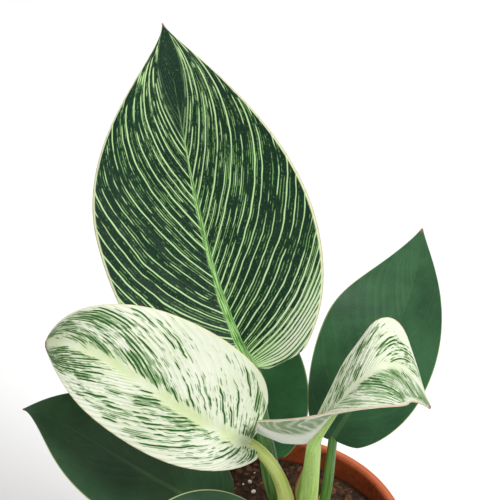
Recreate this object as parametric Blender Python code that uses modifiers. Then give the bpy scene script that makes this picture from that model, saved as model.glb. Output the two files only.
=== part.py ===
"""Potted foliage plant: a short aroid stem with seven leaves, rooted in soil in a round nursery pot.

Lengths in the tables of dimensions are in millimetres. The origin is the centre of the pot's base, +Z is up,
and -Y is the side that the two cream leaves lean to. The stem stands off the pot's centre.
"""

import math

import bmesh
import bpy
from mathutils import Vector

MM = 0.001

# Clearance between pieces that touch
GAP = 0.3

# Pot
POT_HEIGHT = 92.0
RIM_RADIUS = 54.0
BASE_RADIUS = 38.5
WALL = 1.4
SKIRT_HEIGHT = 11.0
LIP_ROUND = 1.7
FLOOR_TOP = 2.0
INNER_BOTTOM_RADIUS = 37.0
INNER_TOP_RADIUS = 50.0
INNER_TOP_Z = 89.5
DRAIN_RADIUS = 3.5
DRAIN_CIRCLE = 24.0
DRAINS = 6
POT_STEPS = 48

# Soil
SOIL_EDGE_Z = 84.0
SOIL_CROWN_Z = 86.0

# Stem
STEM_X = 12.0
STEM_Y = 0.0
STEM_RADIUS = 4.0
STEM_BOTTOM = 66.0
STEM_TOP = 104.0
# Height and share of the full radius at the foot, the leaf scars and the top
STEM_RINGS = (
    (STEM_BOTTOM, 0.80),
    (74.0, 0.92),
    (88.0, 0.95),
    (90.0, 0.90),
    (94.0, 0.96),
    (96.0, 0.90),
    (100.0, 0.96),
    (STEM_TOP - 1.0, 0.92),
    (STEM_TOP, 0.80),
)

# Leaves
BLADE_THICKNESS = 0.9
ALONG = 14
ACROSS = 10
BASE_START = 0.02
LOBE_FADE = 0.15
STALK_STEPS = 9
STALK_BEND = 0.72
# How far along the blade the midrib stands out under it, with its share of the stalk's radius there
MIDRIB = ((0.0, 1.0), (0.06, 0.70), (0.15, 0.55), (0.27, 0.42), (0.38, 0.28))
MIDRIB_SINK = 0.75

# Each leaf: the foot of its stalk, two points that the stalk passes, the four points of the midrib from the
# foot of the blade to its tip, the way the upper face looks at the foot and at the tip, and then by side, left
# first, the half width, where along the midrib it is widest, how full the base is, how drawn out the tip is and
# how far the lobe reaches behind the stalk. fold is the angle of each half above the flat at foot, middle and
# tip, curl is how much more it turns by its margin, roll turns the last of the margin. Where they are given,
# lobe_round is how evenly the lobe hangs back, and lean is how far the half is drawn to the tip by its width.
LEAVES = {
    "leaf_upright": {
        "stalk": ((5.8, 4.15, 97.0), (2.4, 4.8, 118.0), (-1.6, 9.0, 141.0)),
        "stalk_radius": (3.5, 2.3),
        "midrib": ((-5.4, 16.0, 166.6), (-21.2, 44.0, 194.8), (-31.1, 70.0, 234.8), (-37.9, 90.0, 266.3)),
        "face": ((0.05, -0.8, 0.6), (-0.05, -0.72, 0.7)),
        "half_width": (38.0, 41.0),
        "belly": (0.45, 0.37),
        "base": (0.40, 0.41),
        "tip": (1.77, 1.57),
        "lobe": (9.0, 9.0),
        "fold": ((10.0, 7.0, 4.0), (10.0, 7.0, 4.0)),
        "curl": ((6.0, 4.0, 0.0), (6.0, 4.0, 0.0)),
        "roll": (0.0, 0.0),
        "color": (0.020, 0.075, 0.030),
    },
    "leaf_cream_front": {
        "stalk": ((5.7, -3.6, 98.0), (6.2, -10.4, 126.0), (1.4, -14.5, 149.0)),
        "stalk_radius": (3.0, 2.0),
        "midrib": ((-6.6, -16.0, 163.0), (-28.8, -22.0, 185.7), (-53.8, -20.0, 207.5), (-75.4, -8.0, 202.9)),
        "face": ((0.0, -0.7, 0.75), (-0.25, -0.6, 0.75)),
        "half_width": (19.8, 27.0),
        "belly": (0.46, 0.34),
        "base": (0.70, 0.35),
        "tip": (0.72, 1.0),
        "lobe": (8.0, 4.0),
        "fold": ((12.0, 8.0, 5.0), (12.0, 8.0, 5.0)),
        "curl": ((0.0, -20.0, 0.0), (0.0, -20.0, 0.0)),
        "roll": (0.0, 0.0),
        "color": (0.56, 0.66, 0.38),
    },
    "leaf_cream_folded": {
        "stalk": ((12.8, -2.0, 104.8), (14.2, -10.0, 126.0), (14.5, -15.5, 147.0)),
        "stalk_radius": (4.0, 2.6),
        "midrib": ((13.5, -19.0, 166.2), (25.2, -18.0, 186.9), (39.4, -13.0, 197.5), (55.2, -13.0, 176.8)),
        "face": ((-0.8, 0.22, 0.5), (0.45, -0.1, 0.9)),
        "half_width": (18.2, 23.0),
        "belly": (0.57, 0.45),
        "base": (0.40, 0.12),
        "tip": (2.5, 0.9),
        "lobe": (2.0, 11.0),
        "lobe_round": (1.5, 0.7),
        "lean": (0.68, 0.0),
        "fold": ((18.0, 4.0, 6.0), (98.0, 6.0, 0.0)),
        "curl": ((0.0, 0.0, 0.0), (0.0, 0.0, 0.0)),
        "roll": (0.0, 60.0),
        "color": (0.52, 0.66, 0.34),
    },
    "leaf_green_right": {
        "stalk": ((17.9, 1.6, 95.0), (21.0, 0.2, 114.0), (22.3, 0.0, 132.0)),
        "stalk_radius": (2.2, 1.6),
        "midrib": ((23.0, 0.0, 148.1), (38.6, 14.0, 169.8), (49.8, 30.0, 187.3), (55.0, 48.0, 206.8)),
        "face": ((-0.05, -0.8, 0.6), (-0.1, -0.75, 0.65)),
        "half_width": (25.0, 19.0),
        "belly": (0.45, 0.30),
        "base": (0.55, 0.46),
        "tip": (1.14, 1.27),
        "lobe": (5.0, 2.0),
        "fold": ((6.0, 5.0, 3.0), (6.0, 5.0, 3.0)),
        "curl": ((0.0, 0.0, 0.0), (0.0, 0.0, 0.0)),
        "roll": (0.0, 0.0),
        "color": (0.022, 0.085, 0.026),
    },
    "leaf_green_back": {
        "stalk": ((10.9, 5.4, 93.0), (4.0, 12.5, 95.0), (0.0, 22.0, 99.5)),
        "stalk_radius": (1.9, 1.5),
        "midrib": ((-1.6, 30.0, 107.9), (-0.8, 44.0, 123.0), (-4.0, 56.0, 143.0), (-11.0, 70.0, 159.0)),
        "face": ((0.1, -0.7, 0.7), (0.0, -0.7, 0.7)),
        "half_width": (17.0, 17.0),
        "belly": (0.36, 0.36),
        "base": (0.42, 0.42),
        "tip": (1.2, 1.2),
        "lobe": (4.0, 4.0),
        "fold": ((5.0, 5.0, 3.0), (5.0, 5.0, 3.0)),
        "curl": ((0.0, 0.0, 0.0), (0.0, 0.0, 0.0)),
        "roll": (0.0, 0.0),
        "color": (0.020, 0.080, 0.030),
    },
    "leaf_green_left": {
        "stalk": ((7.5, 0.8, 89.0), (0.5, 0.5, 91.5), (-8.0, -0.5, 98.0)),
        "stalk_radius": (2.0, 1.6),
        "midrib": ((-15.0, -2.0, 107.5), (-43.7, -10.0, 139.6), (-67.2, -16.0, 168.5), (-84.6, -14.0, 177.6)),
        "face": ((0.1, -0.5, 0.85), (-0.1, -0.5, 0.85)),
        "half_width": (19.0, 25.0),
        "belly": (0.42, 0.27),
        "base": (0.50, 0.50),
        "tip": (1.8, 1.32),
        "lobe": (8.0, 3.0),
        "fold": ((5.0, 4.0, 3.0), (5.0, 0.0, 3.0)),
        "curl": ((0.0, 0.0, 0.0), (0.0, -20.0, 0.0)),
        "roll": (0.0, 0.0),
        "color": (0.020, 0.070, 0.030),
    },
    "leaf_green_front": {
        "stalk": ((12.0, -5.7, 89.0), (9.0, -13.0, 107.0), (3.5, -20.0, 121.0)),
        "stalk_radius": (2.1, 1.6),
        "midrib": ((-3.0, -26.0, 130.0), (-22.0, -42.0, 140.0), (-42.0, -58.0, 136.0), (-61.0, -71.0, 120.0)),
        "face": ((0.1, -0.15, 1.0), (-0.3, -0.3, 0.9)),
        "half_width": (22.0, 22.0),
        "belly": (0.38, 0.38),
        "base": (0.42, 0.42),
        "tip": (1.3, 1.3),
        "lobe": (6.0, 6.0),
        "fold": ((6.0, 5.0, 3.0), (6.0, 5.0, 3.0)),
        "curl": ((0.0, -10.0, 0.0), (0.0, -10.0, 0.0)),
        "roll": (0.0, 0.0),
        "color": (0.022, 0.078, 0.030),
    },
}

# Sheaths: their centre lines and their radius at foot, middle and point
SHEATHS = {
    "new_leaf_sheath": {
        "path": ((14.6, 5.6, 97.0), (15.5, 3.2, 118.0), (16.6, -1.9, 139.0), (19.4, -6.6, 160.0)),
        "radius": (1.5, 1.1, 0.4),
        "color": (0.16, 0.10, 0.03),
    },
    "dry_sheath": {
        "path": ((17.0, 10.0, 87.6), (18.5, 16.0, 87.3), (20.8, 24.0, 86.6), (23.3, 30.0, 85.6)),
        "radius": (1.2, 1.1, 0.5),
        "color": (0.42, 0.27, 0.12),
    },
}


def clear_scene():
    for obj in list(bpy.data.objects):
        bpy.data.objects.remove(obj, do_unlink=True)


def principled(name, color, roughness):
    material = bpy.data.materials.new(name)
    material.use_nodes = True
    shader = material.node_tree.nodes["Principled BSDF"]
    shader.inputs["Base Color"].default_value = (*color, 1.0)
    shader.inputs["Roughness"].default_value = roughness
    return material


def add(name, mesh, home, color=None, roughness=0.5):
    obj = bpy.data.objects.new(name, mesh)
    home.objects.link(obj)
    if color:
        mesh.materials.append(principled(name + "_surface", color, roughness))
    return obj


def revolved(name, profile, home, steps, color=None, roughness=0.5):
    """A profile of (radius, height) at +X that starts and ends on the axis, turned about Z."""
    mesh = bpy.data.meshes.new(name)
    points = [(r * MM, 0.0, z * MM) for r, z in profile]
    edges = [(i, i + 1) for i in range(len(points) - 1)]
    mesh.from_pydata(points, edges, [])
    obj = add(name, mesh, home, color, roughness)
    screw = obj.modifiers.new("turn", "SCREW")
    screw.axis = "Z"
    screw.steps = steps
    screw.render_steps = steps
    screw.use_merge_vertices = True
    screw.merge_threshold = 0.0001
    screw.use_smooth_shade = False
    return obj


def inner_radius(z):
    share = (z - FLOOR_TOP) / (INNER_TOP_Z - FLOOR_TOP)
    return INNER_BOTTOM_RADIUS + share * (INNER_TOP_RADIUS - INNER_BOTTOM_RADIUS)


def cutter_rod(name, home, radius, bottom, top, x, y, sides=20):
    mesh = bpy.data.meshes.new(name)
    build = bmesh.new()
    bmesh.ops.create_cone(
        build,
        cap_ends=True,
        segments=sides,
        radius1=radius * MM,
        radius2=radius * MM,
        depth=(top - bottom) * MM,
    )
    build.to_mesh(mesh)
    build.free()
    obj = add(name, mesh, home)
    obj.location = (x * MM, y * MM, (top + bottom) / 2 * MM)
    obj.hide_render = True
    obj.display_type = "WIRE"
    return obj


def cut(obj, tool):
    modifier = obj.modifiers.new("cut_" + tool.name, "BOOLEAN")
    modifier.operation = "DIFFERENCE"
    modifier.solver = "EXACT"
    modifier.object = tool


def along_points(points, s):
    """The smooth curve through evenly spaced points, as Lagrange's polynomial."""
    last = len(points) - 1
    found = Vector((0.0, 0.0, 0.0))
    for i, point in enumerate(points):
        weight = 1.0
        for j in range(last + 1):
            if j != i:
                weight *= (s * last - j) / (i - j)
        found += weight * Vector(point)
    return found


def three(values, s):
    """The parabola through the values at the foot, middle and tip."""
    foot, middle, tip = values
    return foot * (1 - s) * (1 - 2 * s) + middle * 4 * s * (1 - s) + tip * s * (2 * s - 1)


def outline(s, belly, base, tip):
    """Half width at s, as a share of the widest."""
    if s < belly:
        return (1 - (1 - s / belly) ** 2) ** base
    return max(0.0, 1 - ((s - belly) / (1 - belly)) ** 2) ** tip


def midrib_frame(leaf, s):
    """Point, direction to the tip, side and upward face of the blade at s."""
    step = 0.005
    here = along_points(leaf["midrib"], s)
    ahead = (along_points(leaf["midrib"], s + step) - along_points(leaf["midrib"], s - step)).normalized()
    foot, tip = (Vector(v).normalized() for v in leaf["face"])
    up = foot * (1 - s) + tip * s
    up = (up - up.dot(ahead) * ahead).normalized()
    return here, ahead, ahead.cross(up), up


def blade_point(leaf, s, t):
    here, ahead, side, up = midrib_frame(leaf, s)
    half = 0 if t < 0 else 1
    reach = abs(t)
    width = leaf["half_width"][half] * outline(s, leaf["belly"][half], leaf["base"][half], leaf["tip"][half])
    fold = math.radians(three(leaf["fold"][half], s))
    curl = math.radians(three(leaf["curl"][half], s))
    roll = math.radians(leaf["roll"][half])
    steps = 8
    out = 0.0
    rise = 0.0
    for i in range(steps):
        share = (i + 0.5) / steps * reach
        angle = fold + curl * share + roll * share**6
        out += math.cos(angle) * reach / steps * width
        rise += math.sin(angle) * reach / steps * width
    forward = leaf.get("lean", (0.0, 0.0))[half] * width * reach
    forward -= leaf["lobe"][half] * math.exp(-s / LOBE_FADE) * reach ** leaf.get("lobe_round", (1.5, 1.5))[half]
    return here + math.copysign(out, t) * side + rise * up + forward * ahead


def mesh_of(obj):
    graph = bpy.context.evaluated_depsgraph_get()
    return bpy.data.meshes.new_from_object(obj.evaluated_get(graph))


def tube(name, points, radii, home, resolution=2):
    """A rod with rounded section along the points, closed at both ends."""
    curve = bpy.data.curves.new(name, "CURVE")
    curve.dimensions = "3D"
    curve.bevel_depth = MM
    curve.bevel_resolution = resolution
    curve.use_fill_caps = True
    spline = curve.splines.new("POLY")
    spline.points.add(len(points) - 1)
    for target, point, radius in zip(spline.points, points, radii):
        target.co = (*(point * MM), 1.0)
        target.radius = radius
    obj = bpy.data.objects.new(name, curve)
    home.objects.link(obj)
    bpy.context.view_layer.update()
    mesh = mesh_of(obj)
    bpy.data.objects.remove(obj, do_unlink=True)
    build = bmesh.new()
    build.from_mesh(mesh)
    bmesh.ops.remove_doubles(build, verts=build.verts[:], dist=0.00001)
    bmesh.ops.recalc_face_normals(build, faces=build.faces[:])
    build.to_mesh(mesh)
    build.free()
    return mesh


def stalk_mesh(name, leaf, home):
    """The stalk, which runs on under the blade as the start of the midrib and thins into it."""
    points = []
    radii = []
    thick, thin = leaf["stalk_radius"]
    route = (*leaf["stalk"], leaf["midrib"][0])
    up_at_foot = midrib_frame(leaf, 0.0)[3]
    for i in range(STALK_STEPS):
        s = i / STALK_STEPS
        sink = MIDRIB_SINK * thin * max(0.0, (s - STALK_BEND) / (1 - STALK_BEND)) ** 2
        points.append(along_points(route, s) - up_at_foot * sink)
        radii.append(thick + (thin - thick) * s)
    for s, share in MIDRIB:
        here, _, _, up = midrib_frame(leaf, s)
        radius = thin * share
        points.append(here - up * (radius * MIDRIB_SINK))
        radii.append(radius)
    return tube(name, points, radii, home)


def leaf_object(name, leaf, home, tools):
    build = bmesh.new()
    bmesh.ops.create_grid(build, x_segments=ALONG, y_segments=ACROSS, size=0.5)
    for vert in build.verts:
        s = BASE_START + (1 - BASE_START) * (vert.co.x + 0.5)
        t = 2 * vert.co.y
        vert.co = blade_point(leaf, s, t) * MM
    bmesh.ops.remove_doubles(build, verts=build.verts[:], dist=0.00002)
    mesh = bpy.data.meshes.new(name)
    build.to_mesh(mesh)
    build.free()
    obj = add(name, mesh, home, leaf["color"], 0.4)
    shell = obj.modifiers.new("thickness", "SOLIDIFY")
    shell.thickness = BLADE_THICKNESS * MM
    shell.offset = 0.0
    stalk = add(name + "_stalk", stalk_mesh(name + "_stalk", leaf, tools), tools)
    stalk.hide_render = True
    stalk.display_type = "WIRE"
    join = obj.modifiers.new("stalk", "BOOLEAN")
    join.operation = "UNION"
    join.solver = "EXACT"
    join.object = stalk
    return obj


def pot_profile():
    """From the middle of the floor up the inside, over the rolled lip, down the outside and in under the base."""
    top = POT_HEIGHT
    lip_centre = RIM_RADIUS - LIP_ROUND
    points = [
        (0.0, FLOOR_TOP),
        (INNER_BOTTOM_RADIUS - 1.5, FLOOR_TOP),
        (INNER_BOTTOM_RADIUS, FLOOR_TOP + 1.5),
        (inner_radius(45.0), 45.0),
        (INNER_TOP_RADIUS, INNER_TOP_Z),
        (INNER_TOP_RADIUS + 0.5, top - 1.0),
        (INNER_TOP_RADIUS + 1.1, top - 0.3),
    ]
    for i in range(5):
        angle = math.radians(100 - 25 * i)
        points.append((lip_centre + LIP_ROUND * math.cos(angle), top - LIP_ROUND + LIP_ROUND * math.sin(angle)))
    skirt = top - SKIRT_HEIGHT
    points.append((RIM_RADIUS - 0.5, skirt + 0.4))
    points.append((RIM_RADIUS - 0.9, skirt))
    points.append((RIM_RADIUS - WALL - 0.3, skirt))
    points.append((RIM_RADIUS - WALL, top - 3.6))
    points.append((RIM_RADIUS - WALL - 0.4, top - 2.9))
    points.append((inner_radius(top - 3.6) + WALL, top - 4.0))
    points.append((inner_radius(SKIRT_HEIGHT) + WALL, SKIRT_HEIGHT))
    points.append((BASE_RADIUS, 2.2))
    points.append((BASE_RADIUS - 0.7, 0.6))
    points.append((BASE_RADIUS - 2.2, 0.0))
    points.append((0.0, 0.0))
    return points


def make_pot(home, tools):
    pot = revolved("pot", pot_profile(), home, POT_STEPS, (0.45, 0.13, 0.05), 0.5)
    for i in range(DRAINS):
        angle = 2 * math.pi * (i + 0.5) / DRAINS
        x = DRAIN_CIRCLE * math.cos(angle)
        y = DRAIN_CIRCLE * math.sin(angle)
        cut(pot, cutter_rod(f"drain_{i}", tools, DRAIN_RADIUS, -2.0, 5.0, x, y, 12))
    return pot


def make_soil(home, tools):
    """The block of potting mix, as high as the inside of the pot, with the hole that the stem grows in."""
    low = FLOOR_TOP + GAP
    profile = [
        (0.0, SOIL_CROWN_Z),
        (14.0, SOIL_CROWN_Z - 0.2),
        (28.0, SOIL_CROWN_Z - 0.8),
        (40.0, SOIL_EDGE_Z + 0.4),
        (inner_radius(SOIL_EDGE_Z) - 2.0 - GAP, SOIL_EDGE_Z),
        (inner_radius(SOIL_EDGE_Z - 1.4) - GAP, SOIL_EDGE_Z - 1.4),
        (inner_radius(45.0) - GAP, 45.0),
        (INNER_BOTTOM_RADIUS - GAP, FLOOR_TOP + 1.8 + GAP),
        (INNER_BOTTOM_RADIUS - 1.9 - GAP, low),
        (0.0, low),
    ]
    soil = revolved("soil", profile, home, POT_STEPS, (0.05, 0.028, 0.016), 0.95)
    hole = cutter_rod("stem_hole", tools, STEM_RADIUS + GAP, STEM_BOTTOM - GAP, 100.0, STEM_X, STEM_Y, 20)
    cut(soil, hole)
    return soil


def make_stem(home):
    """The short upright stem, ringed where older leaves fell."""
    points = [Vector((STEM_X, STEM_Y, z)) for z, share in STEM_RINGS]
    radii = [STEM_RADIUS * share for z, share in STEM_RINGS]
    return add("stem", tube("stem", points, radii, home, 3), home, (0.16, 0.20, 0.06), 0.6)


def make_sheath(name, sheath, home):
    steps = 8
    shares = [i / steps for i in range(steps + 1)]
    points = [along_points(sheath["path"], s) for s in shares]
    radii = [three(sheath["radius"], s) for s in shares]
    return add(name, tube(name, points, radii, home), home, sheath["color"], 0.7)


clear_scene()
plant = bpy.data.collections.new("potted_plant")
bpy.context.scene.collection.children.link(plant)
cutters = bpy.data.collections.new("cutters")
bpy.context.scene.collection.children.link(cutters)
make_pot(plant, cutters)
make_soil(plant, cutters)
make_stem(plant)
for leaf_name, leaf_shape in LEAVES.items():
    leaf_object(leaf_name, leaf_shape, plant, cutters)
for sheath_name, sheath_shape in SHEATHS.items():
    make_sheath(sheath_name, sheath_shape, plant)
cutters.hide_render = True
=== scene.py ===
"""A young foliage plant with pinstriped, cream and green leaves in a terracotta-coloured nursery pot."""

import math
import random

import bmesh
import bpy
from mathutils import Matrix, Vector, noise


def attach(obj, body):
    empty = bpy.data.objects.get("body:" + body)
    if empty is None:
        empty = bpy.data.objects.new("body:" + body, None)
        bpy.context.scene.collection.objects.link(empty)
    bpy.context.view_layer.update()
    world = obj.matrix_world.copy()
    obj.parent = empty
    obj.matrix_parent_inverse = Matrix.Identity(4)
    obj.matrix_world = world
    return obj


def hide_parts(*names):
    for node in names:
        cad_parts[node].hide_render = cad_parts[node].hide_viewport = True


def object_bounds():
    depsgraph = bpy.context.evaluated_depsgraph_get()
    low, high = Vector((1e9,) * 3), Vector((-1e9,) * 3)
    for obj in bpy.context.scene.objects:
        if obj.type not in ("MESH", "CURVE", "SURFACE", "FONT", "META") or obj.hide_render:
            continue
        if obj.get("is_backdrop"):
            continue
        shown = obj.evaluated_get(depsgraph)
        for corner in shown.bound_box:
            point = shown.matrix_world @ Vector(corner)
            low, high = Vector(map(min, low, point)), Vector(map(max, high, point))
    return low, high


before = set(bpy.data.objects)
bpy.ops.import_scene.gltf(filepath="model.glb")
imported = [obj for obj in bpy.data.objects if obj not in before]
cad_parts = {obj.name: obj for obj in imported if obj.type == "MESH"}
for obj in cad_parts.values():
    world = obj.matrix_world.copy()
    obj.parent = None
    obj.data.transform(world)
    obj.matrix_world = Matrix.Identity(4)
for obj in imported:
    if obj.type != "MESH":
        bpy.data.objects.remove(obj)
cad_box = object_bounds()
MM = 0.001

# Camera, light and floor
# The plant stands in front of a plain pale sweep. The camera looks down on it by 41 degrees with a long lens,
# and the light is a broad soft window from the upper right with a weaker one from the left.
CAMERA_PLACE = (-0.00680, -0.41693, 0.60009)
CAMERA_DOWN = 41.0
LENS = 122.4
ROOM_LIGHT = 0.30
FLOOR_REACH = 4.0
FLOOR_TONE = 0.97
AIM = (0.0, 0.0, 0.15)

camera = bpy.data.objects.new("camera", bpy.data.cameras.new("camera"))
camera.data.lens = LENS
camera.data.sensor_width = 36.0
camera.data.clip_start = 0.01
camera.location = CAMERA_PLACE
camera.rotation_euler = (math.radians(90 - CAMERA_DOWN), 0.0, 0.0)
bpy.context.scene.collection.objects.link(camera)
bpy.context.scene.camera = camera


def soft_light(name, place, size, watts):
    """A round soft light that faces the middle of the plant."""
    lamp = bpy.data.lights.new(name, "AREA")
    lamp.shape = "DISK"
    lamp.size = size
    lamp.energy = watts
    obj = bpy.data.objects.new(name, lamp)
    obj.location = place
    obj.rotation_euler = (Vector(place) - Vector(AIM)).to_track_quat("Z", "Y").to_euler()
    bpy.context.scene.collection.objects.link(obj)


soft_light("window", (0.75, -0.35, 1.25), 0.6, 15.5)
soft_light("fill", (-0.9, -0.6, 0.8), 1.0, 4.0)
soft_light("back", (-0.2, 0.9, 1.0), 0.8, 5.0)

world = bpy.data.worlds.new("pale room")
world.use_nodes = True
world.node_tree.nodes["Background"].inputs["Color"].default_value = (1.0, 1.0, 1.0, 1.0)
world.node_tree.nodes["Background"].inputs["Strength"].default_value = ROOM_LIGHT
bpy.context.scene.world = world
bpy.context.scene.view_settings.view_transform = "Standard"

floor_mesh = bpy.data.meshes.new("floor")
floor_build = bmesh.new()
bmesh.ops.create_grid(floor_build, x_segments=1, y_segments=1, size=FLOOR_REACH)
floor_build.to_mesh(floor_mesh)
floor_build.free()
floor = bpy.data.objects.new("floor", floor_mesh)
bpy.context.scene.collection.objects.link(floor)
floor_paint = bpy.data.materials.new("floor")
floor_paint.use_nodes = True
floor_shader = floor_paint.node_tree.nodes["Principled BSDF"]
floor_shader.inputs["Base Color"].default_value = (FLOOR_TONE, FLOOR_TONE, FLOOR_TONE, 1.0)
floor_shader.inputs["Roughness"].default_value = 0.9
floor_mesh.materials.append(floor_paint)
floor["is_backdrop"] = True


# Pot
# A round nursery pot, injection moulded in terracotta-coloured polypropylene. The wall is thin, the rim is
# rolled outward into a hanging skirt, and six drain holes go through the floor.
POT_HEIGHT = 92.0
RIM_RADIUS = 54.0
POT_BASE_RADIUS = 38.5
POT_WALL = 1.4
SKIRT_HEIGHT = 11.0
LIP_ROUND = 1.7
POT_FLOOR = 2.0
POT_INSIDE_LOW = 37.0
POT_INSIDE_HIGH = 50.0
POT_INSIDE_TOP = 89.5
POT_FLOOR_ROUND = 1.4
POT_FOOT_ROUND = 2.2
SKIRT_ROUND = 0.55
MOUTH_ROUND = 1.7
POT_STEPS = 120
DRAIN_RADIUS = 3.5
DRAIN_CIRCLE = 24.0
DRAINS = 6


class Sum:
    """A number in a shader, so that sums on it are written as in Python."""

    def __init__(self, finish, socket):
        self.finish = finish
        self.socket = socket

    def math(self, operation, *others):
        inputs = dict(enumerate((self, *others)))
        made = self.finish.node("ShaderNodeMath", {"operation": operation}, inputs)
        return Sum(self.finish, made.outputs[0])

    def __add__(self, other):
        return self.math("ADD", other)

    def __sub__(self, other):
        return self.math("SUBTRACT", other)

    def __rsub__(self, other):
        return self.math("MULTIPLY_ADD", -1.0, other)

    def __mul__(self, other):
        return self.math("MULTIPLY", other)

    def __pow__(self, other):
        return self.math("POWER", other)

    __radd__ = __add__
    __rmul__ = __mul__


def socket_name(name):
    return name.replace("_", " ").title().replace("Ior", "IOR")


class Finish:
    """A node material that is being built round one Principled shader."""

    def __init__(self, name, **constants):
        self.material = bpy.data.materials.new(name)
        self.material.use_nodes = True
        self.tree = self.material.node_tree
        self.shader = self.tree.nodes["Principled BSDF"]
        for socket, value in constants.items():
            self.shader.inputs[socket_name(socket)].default_value = value

    def node(self, kind, settings=None, inputs=None):
        made = self.tree.nodes.new(kind)
        for name, value in (settings or {}).items():
            setattr(made, name, value)
        for key, value in (inputs or {}).items():
            self.feed(made.inputs[key], value)
        return made

    def feed(self, socket, value):
        if isinstance(value, Sum):
            value = value.socket
        if isinstance(value, bpy.types.NodeSocket):
            self.tree.links.new(value, socket)
        else:
            socket.default_value = value

    def parts(self, vector):
        """The three numbers of a vector."""
        split = self.node("ShaderNodeSeparateXYZ", inputs={0: vector})
        return [Sum(self, out) for out in split.outputs]

    def vector(self, x=0.0, y=0.0, z=0.0):
        return self.node("ShaderNodeCombineXYZ", inputs={0: x, 1: y, 2: z}).outputs[0]

    def place(self):
        """Object coordinates, in millimetres."""
        found = self.node("ShaderNodeTexCoord").outputs["Object"]
        settings = {"operation": "SCALE"}
        return self.node("ShaderNodeVectorMath", settings, {0: found, "Scale": 1000.0}).outputs[0]

    def uv(self, layer):
        return self.parts(self.node("ShaderNodeUVMap", {"uv_map": layer}).outputs[0])[:2]

    def grain(self, vector, scale, detail=2.0, rough=0.5):
        """Noise from 0 to 1, with this many waves to a unit of the vector."""
        inputs = {"Vector": vector, "Scale": scale, "Detail": detail, "Roughness": rough}
        return Sum(self, self.node("ShaderNodeTexNoise", inputs=inputs).outputs[0])

    def streaks(self, turn, along, across_scale, along_scale, detail, rough):
        """Noise drawn out along a round stalk, without a seam where the turn closes."""
        angle = turn * math.tau
        spot = self.vector(
            angle.math("SINE") * across_scale, angle.math("COSINE") * across_scale, along * along_scale
        )
        return self.grain(spot, 1.0, detail, rough)

    def chance(self, number):
        """A number from 0 to 1 that is the same all along one line."""
        made = self.node("ShaderNodeTexWhiteNoise", {"noise_dimensions": "1D"}, {"W": number})
        return Sum(self, made.outputs["Value"])

    def step(self, value, low, high):
        """0 at low and 1 at high, eased."""
        settings = {"interpolation_type": "SMOOTHSTEP"}
        made = self.node("ShaderNodeMapRange", settings, {0: value, 1: low, 2: high, 3: 0.0, 4: 1.0})
        return Sum(self, made.outputs[0])

    def mix(self, share, first, second):
        """A colour between two, each a colour or the result of another mix."""
        made = self.node("ShaderNodeMix", {"data_type": "RGBA"}, {0: share, 6: first, 7: second})
        return made.outputs[2]

    def bump(self, height, strength, distance):
        inputs = {"Strength": strength, "Distance": distance, "Height": height}
        made = self.node("ShaderNodeBump", inputs=inputs)
        self.feed(self.shader.inputs["Normal"], made.outputs[0])

    def paint(self, **sockets):
        for name, value in sockets.items():
            self.feed(self.shader.inputs[socket_name(name)], value)
        return self.material


def seen(red, green, blue):
    """The shader's colour for what a screen shows as these 0 to 255 values."""
    return (*(((c / 255 + 0.055) / 1.055) ** 2.4 if c > 10 else c / 3294.6 for c in (red, green, blue)), 1.0)


def piece(name, build, *materials, smooth=True, stands_for=None, slot=None):
    """The mesh as an object at the origin that rides on the plant's one body."""
    mesh = bpy.data.meshes.new(name)
    for face in build.faces:
        face.smooth = smooth
    build.to_mesh(mesh)
    build.free()
    for material in materials:
        mesh.materials.append(material)
    obj = bpy.data.objects.new(name, mesh)
    bpy.context.scene.collection.objects.link(obj)
    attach(obj, "root")
    if stands_for:
        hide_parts(stands_for)
    return obj


def turned(points, steps):
    """A bmesh of the (radius, height) profile turned once about Z."""
    build = bmesh.new()
    verts = [build.verts.new((r * MM, 0.0, z * MM)) for r, z in points]
    edges = [build.edges.new(pair) for pair in zip(verts, verts[1:])]
    bmesh.ops.spin(
        build, geom=verts + edges, axis=(0, 0, 1), cent=(0, 0, 0), angle=math.tau, steps=steps, use_merge=True
    )
    bmesh.ops.remove_doubles(build, verts=build.verts[:], dist=0.00001)
    bmesh.ops.recalc_face_normals(build, faces=build.faces[:])
    return build


def inside_of_pot(z):
    """Inner radius of the pot wall at a height."""
    share = (z - POT_FLOOR) / (POT_INSIDE_TOP - POT_FLOOR)
    return POT_INSIDE_LOW + share * (POT_INSIDE_HIGH - POT_INSIDE_LOW)


def arc(centre_r, centre_z, radius, start, end, count):
    """Points of (radius, height) round a corner, by angle in degrees."""
    for i in range(count + 1):
        angle = math.radians(start + (end - start) * i / count)
        yield centre_r + radius * math.cos(angle), centre_z + radius * math.sin(angle)


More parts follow.
